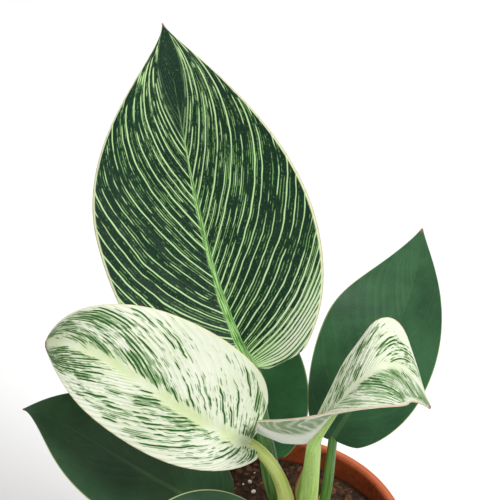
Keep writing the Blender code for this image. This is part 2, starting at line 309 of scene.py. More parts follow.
def pot_finish():
    """Moulded plastic: faint flow mottling, fine satin grain, scuffs outside, painted shade and dried soil
    marks inside.
    """
    finish = Finish("terracotta plastic", specular_ior_level=0.45)
    place = finish.place()
    x, y, z = finish.parts(place)
    radius = (x * x + y * y).math("SQRT")
    mottle = finish.grain(place, 0.06, 4.0, 0.6)
    color = finish.mix(mottle, seen(188, 84, 38), seen(206, 108, 58))
    scuffs = finish.step(finish.grain(finish.vector(x * 0.5, y * 0.5, z * 2.0), 0.9, 5.0, 0.7), 0.62, 0.72)
    color = finish.mix(scuffs * 0.25, color, seen(226, 158, 118))
    shaded_inner_wall = finish.step(radius - z * 0.15, 38.3, 37.6) * finish.step(z, 70.0, 90.5)
    soiled = shaded_inner_wall * finish.step(finish.grain(place, 0.5, 5.0, 0.65) - z * 0.02, -1.35, -1.15)
    # Painted shade: the inner wall under the rim is darkened towards deep red, where shade falls inside the
    # pot.
    color = finish.mix(shaded_inner_wall * 0.45, color, seen(140, 48, 14))
    color = finish.mix(soiled * 0.6, color, seen(96, 50, 30))
    crust = finish.step(finish.grain(place, 0.8, 4.0, 0.7), 0.6, 0.75) * finish.step(z, 83.0, 88.0) * 0.18
    color = finish.mix(crust, color, seen(232, 196, 160))
    rough = 0.36 + finish.grain(place, 0.4, 3.0) * 0.2
    finish.bump(finish.grain(place, 3.0, 3.0), 0.12, 0.0002)
    return finish.paint(base_color=color, roughness=rough)


def punch_drain(pot, angle):
    """Cut one round hole through the pot's floor."""
    spot = Vector((math.cos(angle), math.sin(angle), 0.0)) * DRAIN_CIRCLE * MM
    build = bmesh.new()
    bmesh.ops.create_cone(
        build,
        cap_ends=True,
        segments=24,
        radius1=DRAIN_RADIUS * MM,
        radius2=DRAIN_RADIUS * MM,
        depth=6 * POT_FLOOR * MM,
        matrix=Matrix.Translation(spot),
    )
    mesh = bpy.data.meshes.new("drain_punch")
    build.to_mesh(mesh)
    build.free()
    punch = bpy.data.objects.new("drain_punch", mesh)
    bpy.context.scene.collection.objects.link(punch)
    cut = pot.modifiers.new("drain", "BOOLEAN")
    cut.object = punch
    cut.solver = "EXACT"
    with bpy.context.temp_override(object=pot, active_object=pot):
        bpy.ops.object.modifier_apply(modifier=cut.name)
    bpy.data.objects.remove(punch)


def make_pot():
    """The pot from one profile, from the middle of its floor over the rim and back under its base."""
    top = POT_HEIGHT
    skirt = top - SKIRT_HEIGHT
    under_lip = top - 3.6
    profile = [(0.0, POT_FLOOR), (20.0, POT_FLOOR), (28.0, POT_FLOOR)]
    profile += arc(POT_INSIDE_LOW - POT_FLOOR_ROUND, POT_FLOOR + POT_FLOOR_ROUND, POT_FLOOR_ROUND, -90, 0, 4)
    profile += [(inside_of_pot(z), z) for z in (15.0, 30.0, 45.0, 60.0, 75.0, 84.0, 88.5)]
    profile += arc(POT_INSIDE_HIGH + MOUTH_ROUND, top - MOUTH_ROUND, MOUTH_ROUND, 180, 90, 5)
    profile += arc(RIM_RADIUS - LIP_ROUND, top - LIP_ROUND, LIP_ROUND, 90, 0, 6)
    profile += [(RIM_RADIUS, skirt + 4.0), (RIM_RADIUS - 0.2, skirt + 0.8)]
    profile += arc(RIM_RADIUS - 0.75, skirt + SKIRT_ROUND, SKIRT_ROUND, 0, -180, 5)
    profile += [(RIM_RADIUS - POT_WALL, under_lip), (inside_of_pot(under_lip) + POT_WALL, top - 4.0)]
    profile += [(inside_of_pot(z) + POT_WALL, z) for z in (80.0, 60.0, 40.0, 22.0, 12.0)]
    profile += arc(POT_BASE_RADIUS - POT_FOOT_ROUND, POT_FOOT_ROUND, POT_FOOT_ROUND, 0, -90, 5)
    profile += [(28.0, 0.0), (20.0, 0.0), (0.0, 0.0)]
    pot = piece("pot_shell", turned(profile, POT_STEPS), pot_finish(), stands_for="pot", slot="pot_plastic")
    for i in range(DRAINS):
        punch_drain(pot, math.tau * (i + 0.5) / DRAINS)
    edges = pot.modifiers.new("crisp edges", "EDGE_SPLIT")
    edges.split_angle = math.radians(50)


make_pot()


# Potting mix
# Composted bark, coir and a little perlite, watered in and settled. The block fills the pot to 8 mm under the
# rim, and its top is lumpy, with loose bark chips and white perlite crumbs lying on it.
SOIL_EDGE = 84.0
SOIL_CROWN = 85.3
SOIL_GAP = 0.3
STEM_PLACE = (12.0, 0.0)
SOIL_ROUND = 1.3
SOIL_RINGS = 44
SOIL_STEPS = 150
CROWN_REACH = 46.0
STEM_CLEAR = 7.0
CHIPS = 950
CHIP_ROUGH = 0.22
CRUMBS = 60
CRUMB_ROUGH = 0.3


def soil_top(x, y):
    """Height of the lumpy surface, in millimetres."""
    radius = math.hypot(x, y)
    crown = SOIL_EDGE + (SOIL_CROWN - SOIL_EDGE) * max(0.0, 1 - (radius / CROWN_REACH) ** 2)
    lumps = noise.noise(Vector((x * 0.16, y * 0.16, 0.3))) * 0.9
    lumps += noise.noise(Vector((x * 0.45, y * 0.45, 4.1))) * 0.6
    return crown - 0.5 + lumps


def soil_finish():
    finish = Finish("potting mix", specular_ior_level=0.25)
    place = finish.place()
    clods = finish.grain(place, 0.55, 6.0, 0.65)
    specks = finish.grain(place, 2.2, 3.0, 0.6)
    color = finish.mix(finish.step(clods, 0.35, 0.7), seen(34, 22, 15), seen(78, 53, 36))
    color = finish.mix(finish.step(specks, 0.6, 0.72) * 0.7, color, seen(122, 84, 55))
    color = finish.mix(finish.step(specks, 0.36, 0.28) * 0.8, color, seen(20, 13, 9))
    finish.bump(clods + specks * 0.5, 0.9, 0.0009)
    return finish.paint(base_color=color, roughness=0.82 + clods * 0.15)


def make_soil():
    """The block of mix, a little clear of the pot, with its edge rolled off."""
    edge = inside_of_pot(SOIL_EDGE - 1.5) - SOIL_GAP
    rings = [(edge * i / SOIL_RINGS, SOIL_CROWN) for i in range(SOIL_RINGS + 1)]
    below = [(inside_of_pot(z) - SOIL_GAP, z) for z in (78.0, 60.0, 40.0, 20.0, 6.0)]
    low = POT_FLOOR + SOIL_GAP
    build = turned(rings + below + [(POT_INSIDE_LOW - 2.5, low), (0.0, low)], SOIL_STEPS)
    for vert in build.verts:
        if vert.co.z > (SOIL_CROWN - 0.5) * MM:
            x, y = vert.co.x / MM, vert.co.y / MM
            rolled = max(0.0, math.hypot(x, y) / edge - 0.96) / 0.04
            vert.co.z = (soil_top(x, y) - SOIL_ROUND * rolled * rolled) * MM
    return piece("potting_mix", build, soil_finish(), stands_for="soil", slot="potting_mix")


def scattered(count, reach, seed):
    """Spots on the surface, clear of the stem, with the random source to shape what lies there."""
    pick = random.Random(seed)
    made = 0
    while made < count:
        radius = reach * math.sqrt(pick.random())
        angle = math.tau * pick.random()
        x, y = radius * math.cos(angle), radius * math.sin(angle)
        if math.hypot(x - STEM_PLACE[0], y - STEM_PLACE[1]) > STEM_CLEAR:
            made += 1
            yield x, y, pick


def set_tone(verts, layer, tone):
    """Mark one chip or crumb with how light it is, from 0 to 1."""
    faces = {face for vert in verts for face in vert.link_faces}
    for face in faces:
        for loop in face.loops:
            loop[layer].uv = (tone, 0.0)


def bark_finish(name, dark, light, rough):
    finish = Finish(name, specular_ior_level=0.3)
    place = finish.place()
    tone = finish.uv("tone")[0]
    fibre = finish.grain(place, 1.3, 4.0, 0.7)
    color = finish.mix(tone * 0.75 + fibre * 0.3, dark, light)
    finish.bump(fibre, 0.6, 0.0003)
    return finish.paint(base_color=color, roughness=rough + fibre * 0.1)


def make_chips():
    build = bmesh.new()
    layer = build.loops.layers.uv.new("tone")
    for x, y, pick in scattered(CHIPS, CROWN_REACH, 5):
        size = pick.uniform(0.5, 1.3) * (1.5 if pick.random() < 0.12 else 1.0)
        heading = Matrix.Rotation(pick.uniform(0, math.tau), 4, "Z")
        tilt = Matrix.Rotation(pick.gauss(0, 0.35), 4, "X")
        shape = Matrix.Diagonal((size * pick.uniform(1.0, 1.9), size, size * pick.uniform(0.3, 0.55), 1.0))
        rest = Vector((x, y, soil_top(x, y) + size * 0.12)) * MM
        spot = Matrix.Translation(rest) @ heading @ tilt @ shape @ Matrix.Scale(MM, 4)
        verts = bmesh.ops.create_icosphere(build, subdivisions=1, radius=1.0, matrix=spot)["verts"]
        for vert in verts:
            chipped = Vector((pick.uniform(-1, 1), pick.uniform(-1, 1), pick.uniform(-0.4, 0.4)))
            vert.co += chipped * size * CHIP_ROUGH * MM
        set_tone(verts, layer, pick.random() ** 1.6)
    bmesh.ops.recalc_face_normals(build, faces=build.faces[:])
    material = bark_finish("bark chips", seen(34, 20, 13), seen(118, 78, 50), 0.8)
    return piece("bark_chips", build, material, smooth=False, slot="potting_mix")


def make_perlite():
    build = bmesh.new()
    layer = build.loops.layers.uv.new("tone")
    for x, y, pick in scattered(CRUMBS, 45.5, 11):
        size = pick.uniform(0.3, 0.9)
        rest = Vector((x, y, soil_top(x, y) + size * 0.35)) * MM
        spot = Matrix.Translation(rest) @ Matrix.Scale(MM * size, 4)
        verts = bmesh.ops.create_icosphere(build, subdivisions=2, radius=1.0, matrix=spot)["verts"]
        for vert in verts:
            vert.co += noise.noise_vector(vert.co * 900.0) * size * CRUMB_ROUGH * MM
        set_tone(verts, layer, pick.random())
    material = bark_finish("perlite", seen(196, 188, 172), seen(242, 238, 228), 0.85)
    return piece("perlite_crumbs", build, material, slot="potting_mix")


make_soil()
make_chips()
make_perlite()


# Stem
# A short green-brown aroid stem, rooted in the mix and ringed with scars where older leaves have dropped.
STEM_RADIUS = 4.0
STEM_LOW = 66.0
STEM_HIGH = 104.0
STEM_STEPS = 60
STEM_ROUND = 32
SCAR_FIRST = 86.0
SCAR_SPACING = 5.0
SCAR_DEPTH = 0.10


def stem_finish():
    """Green-brown skin with darker scar rings."""
    finish = Finish("stem skin")
    place = finish.place()
    height = finish.parts(place)[2]
    patches = finish.grain(place, 0.3, 4.0, 0.6)
    color = finish.mix(finish.step(patches, 0.35, 0.65), seen(112, 122, 58), seen(150, 160, 82))
    from_scar = ((height * 0.21 + patches * 0.4).math("FRACT") - 0.5).math("ABSOLUTE")
    scars = finish.step(from_scar, 0.14, 0.05)
    color = finish.mix(scars * 0.7, color, seen(96, 64, 38))
    finish.bump(patches + scars * 0.6, 0.6, 0.0005)
    return finish.paint(base_color=color, roughness=0.5 + patches * 0.15)


def make_stem():
    rings = [(0.0, STEM_LOW)]
    for i in range(STEM_STEPS + 1):
        z = STEM_LOW + (STEM_HIGH - STEM_LOW) * i / STEM_STEPS
        from_scar = (z - SCAR_FIRST) % SCAR_SPACING - SCAR_SPACING / 2
        scar = SCAR_DEPTH * math.exp(-((from_scar / 0.5) ** 2))
        ends = min(1.0, (z - STEM_LOW + 2.0) / 6.0, (STEM_HIGH - z + 1.6) / 2.4)
        rings.append((STEM_RADIUS * (0.93 - scar) * math.sqrt(max(0.3, ends)), z))
    rings.append((0.0, STEM_HIGH))
    build = turned(rings, STEM_ROUND)
    bmesh.ops.translate(build, verts=build.verts[:], vec=Vector((*STEM_PLACE, 0.0)) * MM)
    return piece("stem_skin", build, stem_finish(), stands_for="stem", slot="stem")


make_stem()


# Upright leaf
# The largest leaf stands at the back. It is thick, waxy and dark green, with cream lines along its side
# veins, a cream edge, and a pale green midrib that fades towards the tip. Its ribbed stalk runs on as midrib.
BLADE_THICKNESS = 0.55
BLADE_ALONG = 110
BLADE_ACROSS = 64
BLADE_START = 0.004
BLADE_END = 0.995
TIP_HALF = 0.2
VEINS_AT_FOOT = 0.22
FOOT_FAN = 0.02
ALONG_POWER = 1.25
ACROSS_POWER = 0.85
FOOT_REACH = 0.035
HALVES_APART = 40.5
LOBE_FADE = 0.15
FOLD_STEPS = 8
PLEATS = 18
LINES = 40.0
FINE_LINES = 120.0
UNDERSIDE_LINES = 30.0
STALK_ROUND = 72
STALK_RINGS = 90
STALK_SHARE = 0.62
STALK_RIBS = 11
MIDRIB_REACH = 0.46
MIDRIB_SINK = 0.75
WING_SPREAD = 0.13
WIDEST_WING = 6.0

# In millimetres and degrees. Pairs from half_width on are the left and the right half, seen from above with
# the tip ahead. The angles of fold and curl are those at the foot, middle and tip.
UPRIGHT = {
    "stalk": ((5.8, 4.15, 97.0), (2.4, 4.8, 118.0), (-1.6, 9.0, 141.0)),
    "stalk_radius": (3.5, 2.3),
    "midrib": ((-5.4, 16.0, 166.6), (-21.2, 44.0, 194.8), (-31.1, 70.0, 234.8), (-37.9, 90.0, 266.3)),
    "face": ((0.05, -0.8, 0.6), (-0.05, -0.72, 0.7)),
    "half_width": (38.0, 41.0),
    "belly": (0.45, 0.37),
    "base": (0.40, 0.41),
    "tip": (1.77, 1.57),
    "lobe": (9.0, 9.0),
    "fold": ((10.0, 7.0, 4.0), (10.0, 7.0, 4.0)),
    "curl": ((6.0, 4.0, 0.0), (6.0, 4.0, 0.0)),
    "roll": (0.0, 0.0),
    "wave": (0.5, 2.6, 0.1),
    "sweep": ((1.3, 1.6), (1.65, 2.0)),
    "pleat": 0.10,
}


def along_points(points, s):
    """The smooth curve through evenly spaced points, as Lagrange's polynomial."""
    last = len(points) - 1
    found = Vector((0.0, 0.0, 0.0))
    for i, point in enumerate(points):
        weight = 1.0
        for j in range(last + 1):
            if j != i:
                weight *= (s * last - j) / (i - j)
        found += weight * Vector(point)
    return found


def three(values, s):
    """The parabola through the values at the foot, middle and tip."""
    foot, middle, tip = values
    return foot * (1 - s) * (1 - 2 * s) + middle * 4 * s * (1 - s) + tip * s * (2 * s - 1)


def outline(s, belly, base, tip):
    """Half width at s, as a share of the widest."""
    if s < belly:
        return (1 - (1 - s / belly) ** 2) ** base
    return max(0.0, 1 - ((s - belly) / (1 - belly)) ** 2) ** tip


def midrib_frame(leaf, s):
    """Point, direction to the tip, side and upward face of the blade at s."""
    step = 0.005
    ahead = (along_points(leaf["midrib"], s + step) - along_points(leaf["midrib"], s - step)).normalized()
    foot, tip = (Vector(v).normalized() for v in leaf["face"])
    up = foot * (1 - s) + tip * s
    up = (up - up.dot(ahead) * ahead).normalized()
    return along_points(leaf["midrib"], s), ahead, ahead.cross(up), up


def vein_start(leaf, s, t):
    """Where on the midrib the side vein through (s, t) leaves it.

    Side veins sweep up and meet at the tip, and those of the lobes fan out from the foot.
    """
    strength, bend = leaf["sweep"][0 if t < 0 else 1]
    turn = strength * abs(t) + bend * abs(t) ** 5 * (1 - s) ** 3
    swept = 1 - (1 - s) ** math.exp(-turn)
    return swept + VEINS_AT_FOOT * (1 - math.exp(-swept / FOOT_FAN))


def blade_point(leaf, frame_at, s, t):
    """The point of the blade at s along and t across, and how far out from the midrib it is."""
    here, ahead, side, up = frame_at
    half = 0 if t < 0 else 1
    reach = abs(t)
    width = leaf["half_width"][half] * outline(s, leaf["belly"][half], leaf["base"][half], leaf["tip"][half])
    width = math.hypot(width, TIP_HALF)
    fold = math.radians(three(leaf["fold"][half], s))
    curl = math.radians(three(leaf["curl"][half], s))
    roll = math.radians(leaf["roll"][half])
    stride = reach / FOLD_STEPS * width
    out = 0.0
    rise = 0.0
    for i in range(FOLD_STEPS):
        share = (i + 0.5) / FOLD_STEPS * reach
        angle = fold + curl * share + roll * share**6
        out += math.cos(angle) * stride
        rise += math.sin(angle) * stride
    size, turns, phase = leaf["wave"]
    ripple = size * math.sin(math.tau * (turns * s + phase + 0.37 * half)) * reach**2 * math.sin(math.pi * s)
    pleats = math.sin(math.tau * PLEATS * vein_start(leaf, s, t))
    pleats *= min(1.0, reach * 2.5) ** 2 * (1 - reach**4)
    rise += ripple + leaf["pleat"] * pleats * min(1.0, width / 6.0)
    forward = leaf.get("lean", (0.0, 0.0))[half] * width * reach
    lobe_round = leaf.get("lobe_round", (1.5, 1.5))[half]
    forward -= leaf["lobe"][half] * math.exp(-s / LOBE_FADE) * reach**lobe_round
    off = math.copysign(out, t)
    return (here + off * side + rise * up + forward * ahead) * MM, off


def vein_slope(vert, known):
    """How much the vein number changes in a millimetre across the veins, from the edges at a vertex."""
    steps = []
    for edge in vert.link_edges:
        other = edge.other_vert(vert)
        run = (other.co - vert.co) / MM
        if run.length > 0.02:
            steps.append((run, known[other][0] - known[vert][0]))
    best = 0.0
    for i, (a, rise_a) in enumerate(steps):
        for b, rise_b in steps[:i]:
            spread = a.dot(a) * b.dot(b) - a.dot(b) ** 2
            if spread > 0.2 * a.dot(a) * b.dot(b):
                square = rise_a**2 * b.dot(b) - 2 * rise_a * rise_b * a.dot(b) + rise_b**2 * a.dot(a)
                best = max(best, math.sqrt(max(0.0, square / spread)))
    return best


def make_blade(name, leaf, upper, under, node, slot):
    """The blade as a thin shell.

    Its UV maps hold the course of the side veins, the place on the blade and how close the veins run.
    """
    build = bmesh.new()
    bmesh.ops.create_grid(build, x_segments=BLADE_ALONG, y_segments=BLADE_ACROSS, size=0.5)
    veins = build.loops.layers.uv.new("veins")
    place = build.loops.layers.uv.new("place")
    slope = build.loops.layers.uv.new("slope")
    frames = {}
    known = {}
    for vert in build.verts:
        s = BLADE_START + (BLADE_END - BLADE_START) * max(0.0, vert.co.x + 0.5) ** ALONG_POWER
        t = 2 * vert.co.y
        pinch = 1 - 0.5 * max(0.0, 1 - (s - BLADE_START) / FOOT_REACH) ** 2
        t = math.copysign(abs(t) ** ACROSS_POWER, t) * pinch
        key = round(s, 6)
        if key not in frames:
            frames[key] = midrib_frame(leaf, s)
        vert.co, off = blade_point(leaf, frames[key], s, t)
        known[vert] = (vein_start(leaf, s, t), t, s, off / 100)
    steepness = {vert: max(0.0005, vein_slope(vert, known)) for vert in build.verts}
    for face in build.faces:
        for loop in face.loops:
            vein, t, s, off = known[loop.vert]
            loop[veins].uv = (vein, t)
            loop[place].uv = (s, off)
            loop[slope].uv = (steepness[loop.vert], 0.0)
    bmesh.ops.reverse_faces(build, faces=build.faces[:])
    bmesh.ops.remove_doubles(build, verts=build.verts[:], dist=0.00002)
    blade = piece(name, build, upper, under, stands_for=node, slot=slot)
    shell = blade.modifiers.new("thickness", "SOLIDIFY")
    shell.thickness = BLADE_THICKNESS * MM
    shell.offset = 0.0
    shell.material_offset = 1
    return blade


def line_set(vein, across, count, wobble):
    """The line along the side veins that is nearest, and how far off it is, 0 to 0.5 of their spacing."""
    side = across.math("SIGN") * HALVES_APART
    number = vein * count + side + wobble
    return number.math("FLOOR"), (number.math("FRACT") - 0.5).math("ABSOLUTE")


def spacing_of(finish, count):
    """The distance between neighbouring lines of a set, in millimetres."""
    return finish.uv("slope")[0].math("MULTIPLY", count) ** -1.0


def edge_and_tip(finish, color, across, along, edge_color, edge_width, rim_color):
    """The blade's pale edge, its thin outermost line, and the dried brown point."""
    reach = across.math("ABSOLUTE")
    color = finish.mix(finish.step(reach, 1 - edge_width, 1 - edge_width * 0.45), color, edge_color)
    color = finish.mix(finish.step(reach, 0.988, 1.0) * 0.7, color, rim_color)
    return finish.mix(finish.step(along, 0.972, 0.992), color, seen(150, 104, 74))


def striped_finish():
    """Dark green with bold and fine cream lines, both broken up, that grow thinner towards the tip."""
    finish = Finish("striped leaf", specular_ior_level=0.25)
    vein, across = finish.uv("veins")
    along, off = finish.uv("place")
    reach = across.math("ABSOLUTE")
    place = finish.place()
    wobble = (finish.grain(place, 0.07, 2.0) - 0.5) * 0.7
    shown = finish.step(vein, 0.92, 0.80)
    number, away = line_set(vein, across, LINES, wobble)
    bold = finish.chance(number)
    run = finish.grain(finish.vector(number * 3.7, along * 14.0, reach * 5.0), 1.0, 2.0)
    lobe = finish.step(along, 0.34, 0.06) * finish.step(across, 0.1, 0.8)
    width = 0.15 + bold * 0.13 + (run - 0.5) * 0.26 + lobe * 0.12 - along * 0.10
    offset = away * spacing_of(finish, LINES)
    lines = finish.step(offset, width + 0.16, width - 0.12)
    broken = finish.step(run + bold * 0.34 + lobe * 0.3 - along * along * 0.38, 0.40, 0.50) * shown
    fine_number, fine_away = line_set(vein, across, FINE_LINES, wobble * 3.0)
    dash = finish.grain(finish.vector(fine_number * 5.3, along * 60.0, reach * 24.0), 1.0, 2.0, 0.7)
    thin = finish.grain(finish.vector(fine_number * 9.1, along * 9.0, reach * 4.0), 1.0, 1.0)
    fine_offset = fine_away * spacing_of(finish, FINE_LINES)
    fine = finish.step(fine_offset, 0.24, 0.05) * shown
    fine = fine * finish.step(dash * 0.4 + thin * 0.6 + lobe * 0.05 - along * along * 0.10, 0.47, 0.58)
    fleck = finish.step(finish.grain(place, 1.5, 1.0), 0.66, 0.72)
    ground = finish.mix(finish.grain(place, 0.05, 3.0), seen(2, 36, 18), seen(12, 56, 30))
    color = finish.mix(fleck * 0.4, ground, seen(90, 150, 78))
    color = finish.mix(fine * 0.6, color, seen(150, 204, 120))
    line_color = finish.mix(lobe, seen(200, 236, 166), seen(230, 240, 208))
    color = finish.mix(lines * broken * 0.95, color, line_color)
    streaks = finish.grain(finish.vector(off * 260.0, along * 16.0, 2.0), 1.0, 3.0)
    rib_width = 0.020 - along * 0.028 + (streaks - 0.5) * 0.012
    rib_color = finish.mix(finish.step(streaks, 0.38, 0.62), seen(62, 126, 48), seen(176, 220, 136))
    rib = finish.step(off.math("ABSOLUTE"), rib_width + 0.003, rib_width - 0.004)
    color = finish.mix(rib, color, rib_color)
    color = edge_and_tip(finish, color, across, along, seen(222, 234, 186), 0.03, seen(196, 150, 120))
    skin = finish.grain(place, 1.1, 3.0, 0.6)
    finish.bump(skin * 0.45 + lines * 0.5 - rib * 0.8, 0.45, 0.0006)
    return finish.paint(base_color=color, roughness=0.36 + skin * 0.16 + lines * 0.05)


def underside_finish(name, ground, lines_color):
    """The duller, paler back of a blade, with its side veins."""
    finish = Finish(name, specular_ior_level=0.35)
    vein, across = finish.uv("veins")
    along, off = finish.uv("place")
    place = finish.place()
    number, away = line_set(vein, across, UNDERSIDE_LINES, (finish.grain(place, 0.12) - 0.5) * 1.6)
    strength = finish.chance(number)
    lines = finish.step(away, 0.34, 0.06) * (0.35 + strength * 0.65)
    cloud = finish.grain(place, 0.12, 4.0)
    color = finish.mix(lines * 0.75, ground, lines_color)
    color = finish.mix(cloud * 0.3, color, lines_color)
    rib = finish.step(off.math("ABSOLUTE"), 0.02, 0.004) * finish.step(along, 0.9, 0.4)
    color = finish.mix(rib, color, lines_color)
    color = edge_and_tip(finish, color, across, along, lines_color, 0.03, lines_color)
    finish.bump(finish.grain(place, 1.4, 3.0) * 0.4 + lines, 0.4, 0.0005)
    return finish.paint(base_color=color, roughness=0.5 + cloud * 0.1)


def stalk_centre(leaf, s):
    """Middle and radius of the stalk at s, which runs on under the blade and thins into its midrib."""
    thick, thin = leaf["stalk_radius"]
    if s < STALK_SHARE:
        share = s / STALK_SHARE
        sink = MIDRIB_SINK * thin * max(0.0, 2 * share - 1) ** 2
        here = along_points((*leaf["stalk"], leaf["midrib"][0]), share)
        return here - midrib_frame(leaf, 0.0)[3] * sink, thick + (thin - thick) * share
    m = (s - STALK_SHARE) / (1 - STALK_SHARE) * MIDRIB_REACH
    here, *_, up = midrib_frame(leaf, m)
    radius = thin * (1 - m * 1.95) * (0.55 + 0.45 * math.exp(-m / 0.04))
    return here - up * radius * MIDRIB_SINK, max(0.12, radius)


def close_rod(build):
    """Weld the seam of a rolled-up grid and cap its ends."""
    bmesh.ops.remove_doubles(build, verts=build.verts[:], dist=0.000004)
    bmesh.ops.holes_fill(build, edges=[edge for edge in build.edges if edge.is_boundary], sides=0)
    bmesh.ops.recalc_face_normals(build, faces=build.faces[:])


def make_stalk(name, leaf, material, node, slot, groove=0.16, ribs=0.0, wings=()):
    """The stalk with its midrib, grooved on its upper side.

    Each wing of its sheath is an angle round the stalk, a width, and where it is widest and where it ends.
    """
    build = bmesh.new()
    bmesh.ops.create_grid(build, x_segments=STALK_RINGS, y_segments=STALK_ROUND, size=0.5)
    skin = build.loops.layers.uv.new("skin")
    facing = Vector(leaf["face"][0]).normalized()
    known = {}
    for vert in build.verts:
        s = vert.co.x + 0.5
        turn = math.tau * (vert.co.y + 0.5)
        here, radius = stalk_centre(leaf, s)
        ahead = stalk_centre(leaf, min(1.0, s + 0.01))[0] - stalk_centre(leaf, max(0.0, s - 0.01))[0]
        ahead.normalize()
        side = ahead.cross(facing).normalized()
        up = side.cross(ahead)
        size = radius * (1 - groove * math.exp(-(((turn - math.pi / 2) / 0.45) ** 2)))
        size *= 1 + ribs * math.cos(STALK_RIBS * turn)
        flare = 0.0
        crest = 0.0
        for angle, reach, widest, end in wings:
            bell = math.exp(-(((turn - math.radians(angle)) / WING_SPREAD) ** 2))
            share = max(0.0, 1 - abs(s - widest) / (end - widest)) if s > widest else s / widest
            flare += reach * bell * math.sin(share * math.pi / 2) ** 1.5
            crest = max(crest, bell)
        size += flare
        size *= min(1.0, 0.55 + s * 40, 0.3 + (1 - s) * 30)
        vert.co = (here + size * (math.cos(turn) * side + math.sin(turn) * up)) * MM
        known[vert] = (s, turn / math.tau, flare / WIDEST_WING, crest)
    flares = build.loops.layers.uv.new("flare")
    for face in build.faces:
        for loop in face.loops:
            s, turn, flare, crest = known[loop.vert]
            loop[skin].uv = (s, turn)
            loop[flares].uv = (flare, crest)
    close_rod(build)
    return piece(name, build, material, stands_for=node, slot=slot)


def stalk_finish(name, dark, light, speckle, flare_color=None, ribs=0.0):
    """Streaked lengthwise and speckled. A sheath's wings are yellowish with an edge of their own colour."""
    finish = Finish(name, specular_ior_level=0.45)
    along, turn = finish.uv("skin")
    place = finish.place()
    streaks = finish.streaks(turn, along, 14.0, 7.0, 3.0, 0.6)
    color = finish.mix(finish.step(streaks, 0.3, 0.7), dark, light)
    spots = finish.step(finish.grain(place, 2.4, 1.0), 0.66, 0.72)
    color = finish.mix(spots * speckle, color, seen(70, 96, 44))
    if flare_color:
        flare, crest = finish.uv("flare")
        color = finish.mix(finish.step(flare, 0.01, 0.15) * 0.7, color, seen(214, 216, 128))
        margin = finish.step(crest, 0.62, 0.88) * finish.step(flare, 0.01, 0.06)
        color = finish.mix(margin, color, flare_color)
    finish.bump(streaks + finish.grain(place, 1.5, 2.0) * 0.4, 0.25 + ribs, 0.0004)
    return finish.paint(base_color=color, roughness=0.36 + streaks * 0.12)


striped_skin = striped_finish()
striped_under = underside_finish("striped leaf underside", seen(92, 130, 82), seen(176, 200, 140))
make_blade("upright_blade", UPRIGHT, striped_skin, striped_under, "leaf_upright", "leaf_striped")
ribbed_stalk = stalk_finish("ribbed green stalk", seen(46, 92, 40), seen(120, 168, 82), 0.2, ribs=0.3)
make_stalk("upright_stalk", UPRIGHT, ribbed_stalk, "leaf_upright", "leaf_striped", groove=0.22, ribs=0.05)


# Cream leaf at the front
# A young leaf, cream all over, with short dark green dashes along its side veins. It leans out to the left on
# a smooth yellow-green stalk with a reddish sheath edge.
DASH_LINES = 38.0
FINE_DASH_LINES = 105.6

CREAM_FRONT = {
    "stalk": ((5.7, -3.6, 98.0), (6.2, -10.4, 126.0), (1.4, -14.5, 149.0)),
    "stalk_radius": (3.0, 2.0),
    "midrib": ((-6.6, -16.0, 163.0), (-28.8, -22.0, 185.7), (-53.8, -20.0, 207.5), (-75.4, -8.0, 202.9)),
    "face": ((0.0, -0.7, 0.75), (-0.25, -0.6, 0.75)),
    "half_width": (19.8, 27.0),
    "belly": (0.46, 0.34),
    "base": (0.70, 0.35),
    "tip": (0.72, 1.0),
    "lobe": (8.0, 4.0),
    "fold": ((12.0, 8.0, 5.0), (12.0, 8.0, 5.0)),
    "curl": ((0.0, -20.0, 0.0), (0.0, -20.0, 0.0)),
    "roll": (0.0, 0.0),
    "wave": (0.6, 3.2, 0.3),
    "sweep": ((1.4, 1.2), (1.4, 1.2)),
    "pleat": 0.12,
}


